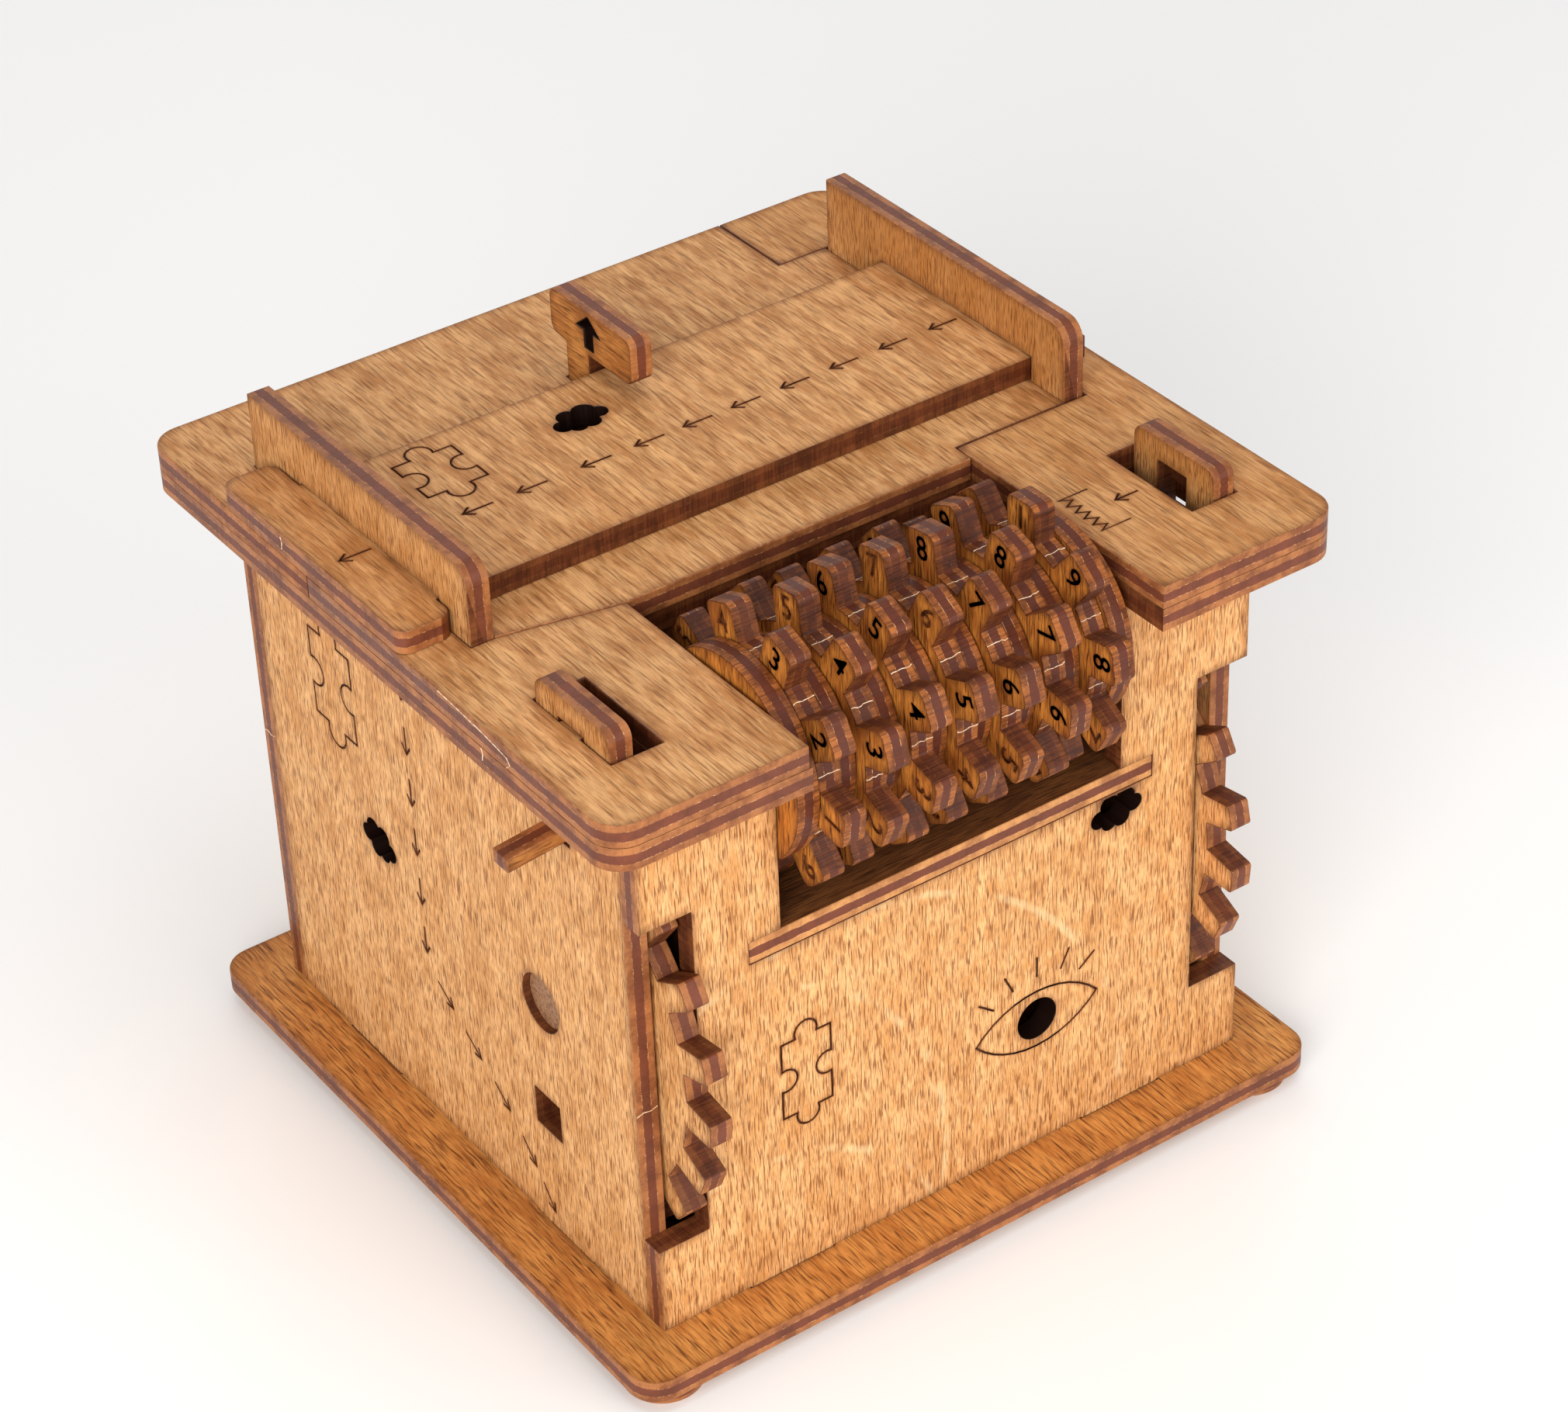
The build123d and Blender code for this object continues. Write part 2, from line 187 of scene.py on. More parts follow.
def scuff_marks(s, arcs):
    """Strength of faint rubbed arcs on an upright face across y: middle x and z, radius in mm."""
    place = s.node("ShaderNodeTexCoord", output=3)
    place_x, _, place_z = s.separate(place)
    patchy = s.ease(s.node("ShaderNodeTexNoise", Vector=place, Scale=170.0, Detail=3.0), 0.42, 0.6)
    marks = 0.0
    for x, z, radius in arcs:
        middle = at(x, 0, z)
        across = s.math("SUBTRACT", place_x, middle.x)
        up = s.math("SUBTRACT", place_z, middle.z)
        away = s.math("SQRT", s.math("MULTIPLY_ADD", across, across, s.math("MULTIPLY", up, up)))
        off = s.math("ABSOLUTE", s.math("SUBTRACT", away, radius * MM))
        marks = s.math("MAXIMUM", marks, s.ease(off, 0.8 * MM, 0.1 * MM))
    return s.math("MULTIPLY", s.math("MULTIPLY", marks, patchy), 0.32)


def plywood(name, light, deep, pore, length=4.5, wave=0.25, pore_share=0.5, pore_width=0.34,
            scorch=1.0, striae=0.5, scuffs=(), edge=srgb(172, 110, 64), edge_dark=srgb(122, 70, 40),
            core=srgb(116, 62, 42), gloss=0.0):
    """Three-ply board. The mesh carries the board's own coordinates: along the grain and across
    it in millimetres, and through it from -1 to 1; and which faces are laser-cut edges.

    light, deep and pore colour the veneer; length, wave and pore_width shape its grain, in mm.
    edge, edge_dark and core colour the cut edge; striae is the share of the beam's marks on it."""
    s = Shading(name)
    board = s.node("ShaderNodeAttribute", output=1, settings={"attribute_name": "board"})
    cut = s.node("ShaderNodeAttribute", output=2, settings={"attribute_name": "cut"})
    tone_and_shade = s.node("ShaderNodeAttribute", output=2, settings={"attribute_name": "tone_and_shade"})
    burn = s.node("ShaderNodeAttribute", output=2, settings={"attribute_name": "burn"})
    u, v, w = s.separate(board)

    # face veneer: blotches, growth bands, dark pores and fine fibres along the grain
    drift = s.noise(s.stretched(u, v, w, (12, 7, THROUGH)), detail=2)
    ripple = s.noise(s.stretched(u, v, w, (2.2, 1.9, THROUGH)), detail=1)
    bent = s.math("MULTIPLY_ADD", drift, 5 * wave, v)
    bent = s.math("MULTIPLY_ADD", ripple, wave, bent)
    blotch = s.noise(s.stretched(u, v, w, (9, 5, THROUGH)), detail=4, roughness=0.62)
    bands = s.noise(s.stretched(u, bent, w, (70, 1.3, THROUGH)), detail=3, roughness=0.6)
    mottle = s.noise(s.stretched(u, bent, w, (length, 1.0, THROUGH)), detail=3, roughness=0.65)
    pores = s.noise(s.stretched(u, bent, w, (length, pore_width, THROUGH)), detail=1)
    fine_pores = s.noise(s.stretched(u, bent, w, (length * 0.5, pore_width * 0.6, THROUGH)), detail=0)
    fibre = s.noise(s.stretched(u, bent, w, (1.4, 0.12, THROUGH)), detail=2, roughness=0.7)
    cloudy = s.math("MULTIPLY_ADD", mottle, 0.55, s.math("MULTIPLY", blotch, 0.45))
    face = s.blend(s.ease(cloudy, 0.38, 0.62), light, deep)
    # browner veneer where the tone is set; on the rails above the deck this is partly painted shade
    face = s.blend(s.math("MULTIPLY", tone_and_shade, 0.75), face, BROWNED_AND_SHADED)
    shade = s.math("MULTIPLY_ADD", bands, 0.44, 0.78)
    shade = s.math("MULTIPLY", shade, s.math("MULTIPLY_ADD", fibre, 0.36, 0.82))
    grey = s.node("ShaderNodeCombineColor", Red=shade, Green=shade, Blue=shade)
    face = s.blend(1.0, face, grey, "MULTIPLY")
    dark = s.math("MULTIPLY", s.ease(pores, 0.53, 0.66), pore_share)
    dark = s.math("MULTIPLY_ADD", s.ease(fine_pores, 0.56, 0.66), pore_share * 0.6, dark)
    face = s.blend(s.math("MINIMUM", dark, 0.9), face, pore)
    if scuffs:
        face = s.blend(scuff_marks(s, scuffs), face, SCUFFED)

    # heat of the laser: a dark rim and a wider amber halo beside every cut
    near = s.tree.nodes.new("ShaderNodeAmbientOcclusion")
    near.inside = True
    near.only_local = True
    near.samples = 3
    near.inputs["Distance"].default_value = 1.6 * MM
    heat = s.math("SUBTRACT", 1.0, near.outputs["AO"])
    uneven = s.noise(s.stretched(u, v, w, (1.5, 1.5, 4)), detail=3, roughness=0.6)
    heat = s.math("MULTIPLY", heat, s.math("MULTIPLY_ADD", uneven, 1.3, 0.35))
    halo = s.math("MULTIPLY", s.ease(heat, 0.06, 0.5), 0.45 * scorch)
    face = s.blend(halo, face, HALO)
    rim = s.math("MULTIPLY", s.ease(heat, 0.34, 0.66), 0.8 * scorch)
    face = s.blend(rim, face, SCORCHED)

    # bottom of an engraved line: char with brown specks
    depth = s.math("ABSOLUTE", w)
    engraved = s.ease(depth, 0.97, 0.9)
    char = s.blend(s.ease(uneven, 0.35, 0.7), *CHAR)
    face = s.blend(engraved, face, char)

    # cut edge: outer plies, darker core ply, pale glue lines, striations of the beam
    streak = s.noise(s.stretched(u, v, w, (0.3, 0.3, 3.4)), detail=3, roughness=0.65)
    grime = s.noise(s.stretched(u, v, w, (3.2, 3.2, 2.2)), detail=4, roughness=0.65)
    uneven_ply = s.noise(s.stretched(u, v, w, (1.6, 1.6, THROUGH)), detail=3)
    level = s.math("ADD", depth, s.math("MULTIPLY_ADD", uneven_ply, 0.2, -0.1))
    rim_ply = s.blend(s.ease(grime, 0.34, 0.68), edge, edge_dark)
    rim_ply = s.blend(s.math("MULTIPLY", s.ease(streak, 0.44, 0.64), striae), rim_ply, edge_dark)
    core_dark = s.blend(0.45, core, CORE_SHADE)
    marked = s.math("MULTIPLY_ADD", streak, striae, s.math("MULTIPLY", grime, 1 - striae))
    core_ply = s.blend(s.ease(marked, 0.36, 0.66), core, core_dark)
    side = s.blend(s.ease(level, 0.44, 0.36), rim_ply, core_ply)
    dashes = s.noise(s.stretched(u, v, w, (1.1, 1.1, THROUGH)), detail=4, roughness=0.75)
    line = s.math("MULTIPLY", s.ease(level, 0.36, 0.4), s.ease(level, 0.46, 0.42))
    line = s.math("MULTIPLY", line, s.ease(dashes, 0.49, 0.62))
    side = s.blend(s.math("MULTIPLY", line, 0.75), side, GLUE_LINE)
    seam = s.math("MULTIPLY", s.ease(depth, 0.9, 1.0), s.ease(dashes, 0.5, 0.62))
    side = s.blend(s.math("MULTIPLY", seam, 0.4), side, GLUE_SEAM)
    smoky = s.math("MULTIPLY_ADD", streak, 0.5, s.math("MULTIPLY", grime, 0.5))
    burnt = s.blend(s.ease(smoky, 0.36, 0.62), *BURNT)
    side = s.blend(s.math("MULTIPLY", s.math("MINIMUM", burn, 1.0), 0.82), side, burnt)
    # small shaped holes: near-black char and painted shade
    side = s.blend(s.ease(burn, 1.0, 2.0), side, SOOT_AND_SHADE)
    colour = s.blend(cut, face, side)

    other = s.math("SUBTRACT", 1.0, cut)
    rough_face = s.math("MULTIPLY_ADD", fibre, 0.24, 0.48 - gloss)
    rough_side = s.math("MULTIPLY_ADD", streak, -0.5, 0.68 - gloss)
    roughness = s.math("MULTIPLY_ADD", rough_side, cut, s.math("MULTIPLY", rough_face, other))
    relief_face = s.math("MULTIPLY_ADD", fibre, 0.35, s.math("MULTIPLY", dark, -1.0))
    relief_side = s.math("MULTIPLY", streak, 1.0 + striae)
    relief = s.math("MULTIPLY_ADD", relief_side, cut, s.math("MULTIPLY", relief_face, other))
    return s.finish(colour, roughness, relief, bump=0.6, depth=0.00008, specular=0.22)


wall_colours = (srgb(230, 176, 118), srgb(206, 146, 86), srgb(122, 68, 30))
wall_grain = {"length": 2.8, "wave": 0.14, "pore_share": 0.72, "pore_width": 0.22, "striae": 0.25}
wall_ply = plywood("wall_plywood", *wall_colours, **wall_grain)
front_ply = plywood("front_plywood", *wall_colours, scuffs=((4, 8, 37.5), (25, 5, 43.3), (12, -12, 30)),
                    **wall_grain)
top_ply = plywood("top_plywood", srgb(220, 166, 110), srgb(180, 122, 70), srgb(100, 56, 26),
                  length=5.5, wave=0.05, pore_share=0.42, striae=0.2)
base_ply = plywood("base_plywood", srgb(212, 146, 76), srgb(184, 116, 54), srgb(92, 46, 18),
                   length=4.8, wave=0.12, pore_share=0.6, striae=0.2)
inner_ply = plywood("inner_plywood", srgb(206, 140, 72), srgb(170, 106, 50), srgb(78, 38, 16),
                    length=4.5, wave=0.15, pore_share=0.5, striae=0.3)
disc_ply = plywood("disc_plywood", srgb(212, 138, 58), srgb(164, 94, 36), srgb(64, 28, 10),
                   length=4.0, wave=0.2, pore_share=0.6, scorch=1.2, striae=0.75, edge=srgb(168, 98, 44),
                   edge_dark=srgb(90, 44, 20), core=srgb(94, 44, 28), gloss=0.04)
# Boards inside the box: wood colours darkened as painted shade, where little light gets in
inner_shade_ply = plywood("inner_painted_shade_plywood", srgb(112, 68, 34), srgb(84, 48, 24), srgb(44, 22, 10),
                     length=4.5, wave=0.15, pore_share=0.5, striae=0.3)
# Drum shelf: faces painted dark as the drum's shadow on them; cut edges keep light wood colour
shelf_shadow_ply = plywood("shelf_painted_shadow_plywood", srgb(118, 72, 36), srgb(90, 52, 26), srgb(48, 24, 10),
                    length=4.5, wave=0.15, pore_share=0.5, striae=0.3, edge=srgb(206, 146, 88),
                    edge_dark=srgb(160, 104, 60))


def dowel_wood():
    """Turned birch dowel, grain along x, with a few darker streaks."""
    s = Shading("dowel_birch")
    place = s.node("ShaderNodeTexCoord", output=3)
    x, y, z = [s.math("MULTIPLY", value, 1 / MM) for value in s.separate(place)]
    grain = s.noise(s.stretched(x, y, z, (14, 0.5, 0.5)), detail=3, roughness=0.6)
    blotch = s.noise(s.stretched(x, y, z, (9, 4, 4)), detail=2)
    colour = s.blend(s.ease(grain, 0.35, 0.7), srgb(160, 116, 80), srgb(112, 72, 46))
    colour = s.blend(s.ease(blotch, 0.5, 0.8, 0.0, 0.5), colour, srgb(92, 56, 34))
    roughness = s.math("MULTIPLY_ADD", grain, 0.25, 0.45)
    return s.finish(colour, roughness, grain, bump=0.4, depth=0.00006)


def glue_resin():
    """Dried wood glue: milky, uneven and slightly glossy."""
    s = Shading("dried_glue")
    place = s.node("ShaderNodeTexCoord", output=3)
    speck = s.node("ShaderNodeTexNoise", Vector=place, Scale=2600.0, Detail=3.0)
    colour = s.blend(s.ease(speck, 0.35, 0.7), srgb(246, 226, 196), srgb(196, 146, 98))
    roughness = s.math("MULTIPLY_ADD", speck, 0.3, 0.25)
    return s.finish(colour, roughness, speck, bump=0.5, depth=0.00005, specular=0.6)


dowel = dowel_wood()
glue = glue_resin()

# ---- cutting tools: prisms that engrave the boards ---------------------------------
LINE = 0.28                      # width of a scored line
SCORE = 0.28                     # its depth
PROUD = 0.5                      # how far a cutting tool stands out of the board


def prism(outline, matrix):
    """Closed prism under a flat outline in mm; matrix puts its z = 0 on the board's face."""
    bm = bmesh.new()
    low = [bm.verts.new(matrix @ Vector((x * MM, y * MM, -SCORE * MM))) for x, y in outline]
    high = [bm.verts.new(matrix @ Vector((x * MM, y * MM, PROUD * MM))) for x, y in outline]
    bm.faces.new(low)
    bm.faces.new(high)
    for i in range(len(outline)):
        j = (i + 1) % len(outline)
        bm.faces.new((low[i], low[j], high[j], high[i]))
    bmesh.ops.recalc_face_normals(bm, faces=bm.faces)
    return bm


def stroke(path, width, closed=False):
    """Outlines, left and right, of a line of that width along a path of points."""
    count = len(path)
    left, right = [], []
    for i, (x, y) in enumerate(path):
        before = path[i - 1] if i or closed else None
        after = path[(i + 1) % count] if i < count - 1 or closed else None
        steps = []
        if before:
            steps.append(Vector((x - before[0], y - before[1])).normalized())
        if after:
            steps.append(Vector((after[0] - x, after[1] - y)).normalized())
        ahead = sum(steps, Vector((0, 0))).normalized()
        side = Vector((-ahead.y, ahead.x))
        reach = width / 2 / max(0.4, side.dot(Vector((-steps[0].y, steps[0].x))))
        left.append((x + side.x * reach, y + side.y * reach))
        right.append((x - side.x * reach, y - side.y * reach))
    return left, right


def line_prism(path, matrix, width=LINE, closed=False):
    """Closed prism under a drawn line; a closed path gives a ring-shaped groove."""
    left, right = stroke(path, width, closed)
    if not closed:
        return prism(left + right[::-1], matrix)
    bm = bmesh.new()
    rings = []
    for points in (left, right):
        for z in (-SCORE, PROUD):
            rings.append([bm.verts.new(matrix @ Vector((x * MM, y * MM, z * MM))) for x, y in points])
    left_low, left_high, right_low, right_high = rings
    for i in range(len(path)):
        j = (i + 1) % len(path)
        for a, b in ((left_low, left_high), (left_high, right_high), (right_high, right_low),
                     (right_low, left_low)):
            bm.faces.new((a[i], a[j], b[j], b[i]))
    bmesh.ops.recalc_face_normals(bm, faces=bm.faces)
    return bm


def arrow(length, barb=1.2, width=0.3):
    """Outline of a thin arrow that points along +x, with its tip near the origin."""
    half = width / 2
    return [(0.2, 0), (-barb, barb * 0.85), (-barb - 0.25, barb * 0.85 - 0.22), (-0.5, half),
            (-length, half), (-length, -half), (-0.5, -half), (-barb - 0.25, 0.22 - barb * 0.85),
            (-barb, -barb * 0.85)]


def knob(x0, y0, x1, y1, size):
    """Points of a round jigsaw knob halfway along a side; size < 0 makes a socket."""
    start, end = Vector((x0, y0)), Vector((x1, y1))
    along = (end - start).normalized()
    out = Vector((along.y, -along.x)) * math.copysign(1, size)
    r = abs(size)
    middle = (start + end) / 2 + out * r * 0.36
    turns = [math.radians(201 - k * 222 / 10) for k in range(11)]
    points = [middle + along * r * math.cos(turn) + out * r * math.sin(turn) for turn in turns]
    return [(p.x, p.y) for p in points]


def jigsaw(w, h, size):
    """Closed path of a plain jigsaw piece: two knobs, two sockets."""
    corners = [(-w / 2, -h / 2), (w / 2, -h / 2), (w / 2, h / 2), (-w / 2, h / 2)]
    path = []
    for i, sign in enumerate((1, -1, 1, -1)):
        a, b = corners[i], corners[(i + 1) % 4]
        path.append(a)
        path += knob(*a, *b, sign * size)
    return path


def facing(x, y, z, normal, up):
    """Matrix of a drawing plane at that point of the box: z along normal, y along up."""
    n, v = Vector(normal), Vector(up)
    u = v.cross(n)
    turn = Matrix((u, v, n)).transposed().to_4x4()
    return Matrix.Translation(at(x, y, z)) @ turn


def spun(angle):
    return Matrix.Rotation(math.radians(angle), 4, "Z")


def joined(name, pieces):
    """One mesh object from several bmeshes."""
    mesh = bpy.data.meshes.new(name)
    whole = bmesh.new()
    for bm in pieces:
        part = bpy.data.meshes.new("part")
        bm.to_mesh(part)
        bm.free()
        whole.from_mesh(part)
        bpy.data.meshes.remove(part)
    whole.to_mesh(mesh)
    whole.free()
    made = bpy.data.objects.new(name, mesh)
    bpy.context.scene.collection.objects.link(made)
    return made


def applied(made):
    """Replace an object's mesh by what its modifiers make of it."""
    graph = bpy.context.evaluated_depsgraph_get()
    mesh = bpy.data.meshes.new_from_object(made.evaluated_get(graph), depsgraph=graph)
    made.modifiers.clear()
    made.data = mesh


# ---- boards ------------------------------------------------------------------------
AXES = {"x": Vector((1, 0, 0)), "y": Vector((0, 1, 0)), "z": Vector((0, 0, 1))}
SHARP = math.radians(40)         # edges above this angle are rounded
CREASE = math.radians(38)        # and above this one shaded hard
FLAT = math.radians(0.6)         # faces within this angle are merged
WELD = 1e-6

# Small shaped holes, charred inside and painted near black as shade: middle and reach in mm
CHARRED_SHADED_HOLES = ((33.6, 60.0, deck_top + 1.5, 5.2),    # key hole in the lid
           (1.5, 58.2, 37.2, 5.2),               # key hole in the left wall
           (67.3, 1.5, 45.2, 5.2),               # key hole in the front wall
           (55.4, 1.5, 19.4, 5.2),               # eye hole
           (42.1, 68.3, deck_top + 8.2, 2.9))    # arrow in the lock pin
OUTLINE, RAISED, OPENING, CHARRED_SHADED_OPENING = 0.0, 0.15, 1.0, 2.0      # burn of a cut face
TOOTH_FLANK, TOOTH_TIP = 0.95, 0.1


def openings(node):
    """Burn of a board's cut faces: none on its outline, a little on the walls' ends above the
    deck, full inside openings and twice as much inside the small shaped holes, which are
    painted near black as char and shade."""
    corners = [vert.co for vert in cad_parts[node].data.vertices]
    above = at(0, 0, deck_top - 1).z if node.endswith("_wall") else math.inf
    holes = [(at(x, y, z), reach * MM) for x, y, z, reach in CHARRED_SHADED_HOLES]

    def burn(co, normal):
        if any((co - hole).length < reach for hole, reach in holes):
            return CHARRED_SHADED_OPENING
        beyond = max(normal.dot(place) for place in corners) - normal.dot(co)
        if beyond < 0.4 * MM:
            return OUTLINE
        return RAISED if co.z > above else OPENING
    return burn


def flanks(node):
    """Burn of a toothed disc: only the sides of its teeth or tabs."""
    low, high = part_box(node)
    middle = (low + high) / 2

    def burn(co, normal):
        out = Vector((0, co.y - middle.y, co.z - middle.z)).normalized()
        return TOOTH_FLANK if abs(out.dot(normal)) < 0.6 else TOOTH_TIP
    return burn


def board_mesh(made, node, through, grain, seed, tone_and_shade, burn):
    """Write the board coordinates that its plywood reads, and mark what is cut edge."""
    mesh = made.data
    low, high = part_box(node)
    n, g = AXES[through], AXES[grain]
    across = n.cross(g)
    middle, half = (low + high).dot(n) / 2, (high - low).dot(n) / 2
    rng = random.Random(seed)
    shift_u, shift_v = rng.uniform(50, 900), rng.uniform(50, 900)
    places, tone_and_shade_values = [], []
    for vert in mesh.vertices:
        co = vert.co.copy()
        depth = max(-1.0, min(1.0, (co.dot(n) - middle) / half))
        places += (co.dot(g) / MM + shift_u, co.dot(across) / MM + shift_v, depth)
        # tone of the veneer; on the side walls' rails above the deck it is partly painted shade
        tone_and_shade_values.append(tone_and_shade(co))
    leans = [abs(face.normal.dot(n)) for face in mesh.polygons]
    cuts = [0.0 if lean > 0.98 else 1.0 for lean in leans]
    burns = [burn(face.center, face.normal) if cut else 0.0 for face, cut in zip(mesh.polygons, cuts)]
    kinds = ["face" if lean > 0.999 else "edge" if lean < 0.02 else "bevel" for lean in leans]
    mesh.attributes.new("board", "FLOAT_VECTOR", "POINT").data.foreach_set("vector", places)
    mesh.attributes.new("tone_and_shade", "FLOAT", "POINT").data.foreach_set("value", tone_and_shade_values)
    mesh.attributes.new("cut", "FLOAT", "FACE").data.foreach_set("value", cuts)
    mesh.attributes.new("burn", "FLOAT", "FACE").data.foreach_set("value", burns)
    with editing(mesh) as bm:
        for edge in bm.edges:
            same = len(edge.link_faces) == 2 and len({kinds[f.index] for f in edge.link_faces}) == 1
            edge.smooth = same and edge.calc_face_angle(0) < CREASE
        for face in bm.faces:
            face.smooth = True


def board(node, body, material, through, grain, slot, cutters=(), tone_and_shade=None, burn=None):
    """Bevelled, engraved plywood board in the place of a CAD board. through is the axis across
    its thickness and grain the axis that its fibres follow."""
    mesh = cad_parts[node].data.copy()
    with editing(mesh) as bm:
        bmesh.ops.remove_doubles(bm, verts=bm.verts, dist=WELD)
        bmesh.ops.dissolve_limit(bm, angle_limit=FLAT, verts=bm.verts, edges=bm.edges)
    mesh.materials.clear()
    made = bpy.data.objects.new(node + "_ply", mesh)
    bpy.context.scene.collection.objects.link(made)
    rounding = made.modifiers.new("rounding", "BEVEL")
    rounding.width = 0.16 * MM
    rounding.segments = 2
    rounding.limit_method = "ANGLE"
    rounding.angle_limit = SHARP
    applied(made)
    with editing(made.data) as bm:
        bmesh.ops.triangulate(bm, faces=bm.faces, ngon_method="BEAUTY")
    if cutters:
        tool = joined("tool", cutters)
        engraving = made.modifiers.new("engraving", "BOOLEAN")
        engraving.operation = "DIFFERENCE"
        engraving.solver = "MANIFOLD"
        engraving.object = tool
        applied(made)
        bpy.data.objects.remove(tool)
    made.data.materials.clear()
    made.data.materials.append(material)
    board_mesh(made, node, through, grain, node, tone_and_shade or (lambda co: 0.0), burn or openings(node))
    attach(made, body)
    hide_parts(node)
    return made


# ---- engravings: all places and sizes in mm of the box -----------------------------------
LID_ARROWS = [(x, 50.7) for x in (78.6, 71.0, 63.6, 56.3, 49.1, 42.1, 35.2, 27.7, 18.8, 11.3)]
LID_END_ARROW = (-4.9, 51.1)
WALL_TRAIL = ((49, 63.3, -90), (49, 55.4, -90), (49, 47.9, -90), (49, 40.6, -90), (49, 33.2, -90),
              (49, 25.8, -90), (43.6, 20.4, -35), (37.8, 16.3, -35), (31.9, 12.2, -38),
              (26.7, 7.0, -48), (23.0, 2.2, -55))
EYE_HOLE = (55.4, 19.4)
ALMOND_HALF, ALMOND_RISE = 9.2, 4.2
RAY_TURNS = (-52, -26, 0, 26, 52)
SAW_X, SAW_ARM, SAW_TOOTH = 69.6, 4.3, 1.5
SAW_Y, SAW_LENGTH, SAW_TEETH = 14.2, 8.0, 5


def on_top(x, y, z):
    """Drawing plane on a flat board, its up towards the back."""
    return facing(x, y, z, UP, (0, 1, 0))


def jigsaw_cut(w, h, size, place):
    """Groove along the outline of a jigsaw piece."""
    return line_prism(jigsaw(w, h, size), place, closed=True)


def lid_engravings():
    """Row of arrows that point to the left, and a jigsaw piece."""
    tools = [prism(arrow(4.2), on_top(x, y, lid_top) @ spun(180)) for x, y in (*LID_ARROWS, LID_END_ARROW)]
    return tools + [jigsaw_cut(8.2, 8.2, 1.7, on_top(14.2, 60.3, lid_top))]


def left_wall_engravings():
    """Trail of arrows that runs down and then forward, and a jigsaw piece."""
    tools = [prism(arrow(4.0), facing(0, y, z, LEFT, UP) @ spun(turn)) for y, z, turn in WALL_TRAIL]
    return tools + [jigsaw_cut(9.5, 12.5, 2.0, facing(0, 66, 56, LEFT, UP))]


def front_wall_engravings():
    """Almond outline with rays over the round hole, and a jigsaw piece."""
    middle = facing(EYE_HOLE[0], 0, EYE_HOLE[1], FRONT, UP)
    r = (ALMOND_HALF ** 2 + ALMOND_RISE ** 2) / (2 * ALMOND_RISE)
    sweep = math.asin(ALMOND_HALF / r)
    turns = [sweep * (1 - k / 6) for k in range(13)]
    top = [(r * math.sin(turn), r * math.cos(turn) - r + ALMOND_RISE) for turn in turns]
    low = [(-x, -y) for x, y in top[1:-1]]
    tools = [line_prism(top + low, middle, closed=True)]
    for turn in RAY_TURNS:
        across, up = math.sin(math.radians(turn)), math.cos(math.radians(turn))
        tools.append(line_prism([(across * 8.2, 1.2 + up * 5.2), (across * 11.2, 1.2 + up * 8.2)], middle))
    return tools + [jigsaw_cut(7.0, 11.0, 1.6, facing(21.6, 0, 28.6, FRONT, UP))]


def right_plate_engravings():
    """Arrow and a saw-tooth path on the right corner plate."""
    steps = range(2 * SAW_TEETH + 1)
    saw = [(SAW_X + (0.0, SAW_TOOTH)[k % 2], SAW_Y - SAW_LENGTH * k / steps[-1]) for k in steps]
    arm = SAW_X + SAW_ARM
    path = [(arm, SAW_Y)] + saw + [(arm, SAW_Y - SAW_LENGTH)]
    return [prism(arrow(3.4), on_top(74.9, 10.3, deck_top) @ spun(180)),
            line_prism(path, on_top(0, 0, deck_top), LINE * 0.8)]


def digit(text, matrix, height):
    """Cutting tool in the shape of one digit."""
    curve = bpy.data.curves.new("digit", "FONT")
    curve.body = text
    curve.size = height * MM
    curve.align_x = "CENTER"
    curve.align_y = "CENTER"
    curve.resolution_u = 3
    curve.extrude = SCORE * MM
    curve.offset = 0.03 * MM
    made = bpy.data.objects.new("digit", curve)
    bpy.context.scene.collection.objects.link(made)
    graph = bpy.context.evaluated_depsgraph_get()
    mesh = bpy.data.meshes.new_from_object(made.evaluated_get(graph))
    bm = bmesh.new()
    bm.from_mesh(mesh)
    bmesh.ops.remove_doubles(bm, verts=bm.verts, dist=WELD / 10)
    bm.transform(matrix)
    bmesh.ops.recalc_face_normals(bm, faces=bm.faces)
    bpy.data.objects.remove(made)
    bpy.data.curves.remove(curve)
    bpy.data.meshes.remove(mesh)
    return bm


# ---- drum ----------------------------------------------------------------------------
drum_low, drum_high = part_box("drum_axle")
drum_y = ((drum_low.y + drum_high.y) / 2 - corner.y) / MM
drum_z = ((drum_low.z + drum_high.z) / 2 - corner.z) / MM
TABS = 9
FIRST_TABS = (31.0, 17.0, 25.5, 21.0, 18.0, 33.5, 10.5)    # turn of each ring's first tab
RINGS = len(FIRST_TABS)
RIM_R = 12.5                     # between the tabs
DIGIT_R, DIGIT_H = 14.7, 4.3
GLUE_ROOT = 0.05                 # how deep a glue line reaches into the wood


def disc_left(number):
    """Left face of a code disc, in mm of the box."""
    return (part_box(f"code_disc_{number}")[0].x - corner.x) / MM


def ring_out(number, k):
    """Direction out of a ring at its tab k; k may lie between two tabs."""
    lift = math.radians(FIRST_TABS[number - 1] + k * 360 / TABS)
    return Vector((0, -math.cos(lift), math.sin(lift)))


def ring_digits(number):
    """Digits 1 to 9 on the left faces of a ring's tabs, their tops pointing outwards."""
    tools = []
    for k in range(TABS):
        out = ring_out(number, k)
        y, z = drum_y + out.y * DIGIT_R, drum_z + out.z * DIGIT_R
        place = facing(disc_left(number), y, z, LEFT, out)
        tools.append(digit(str((k + number) % TABS + 1), place, DIGIT_H))
    return tools


# ---- dried glue ------------------------------------------------------------------------

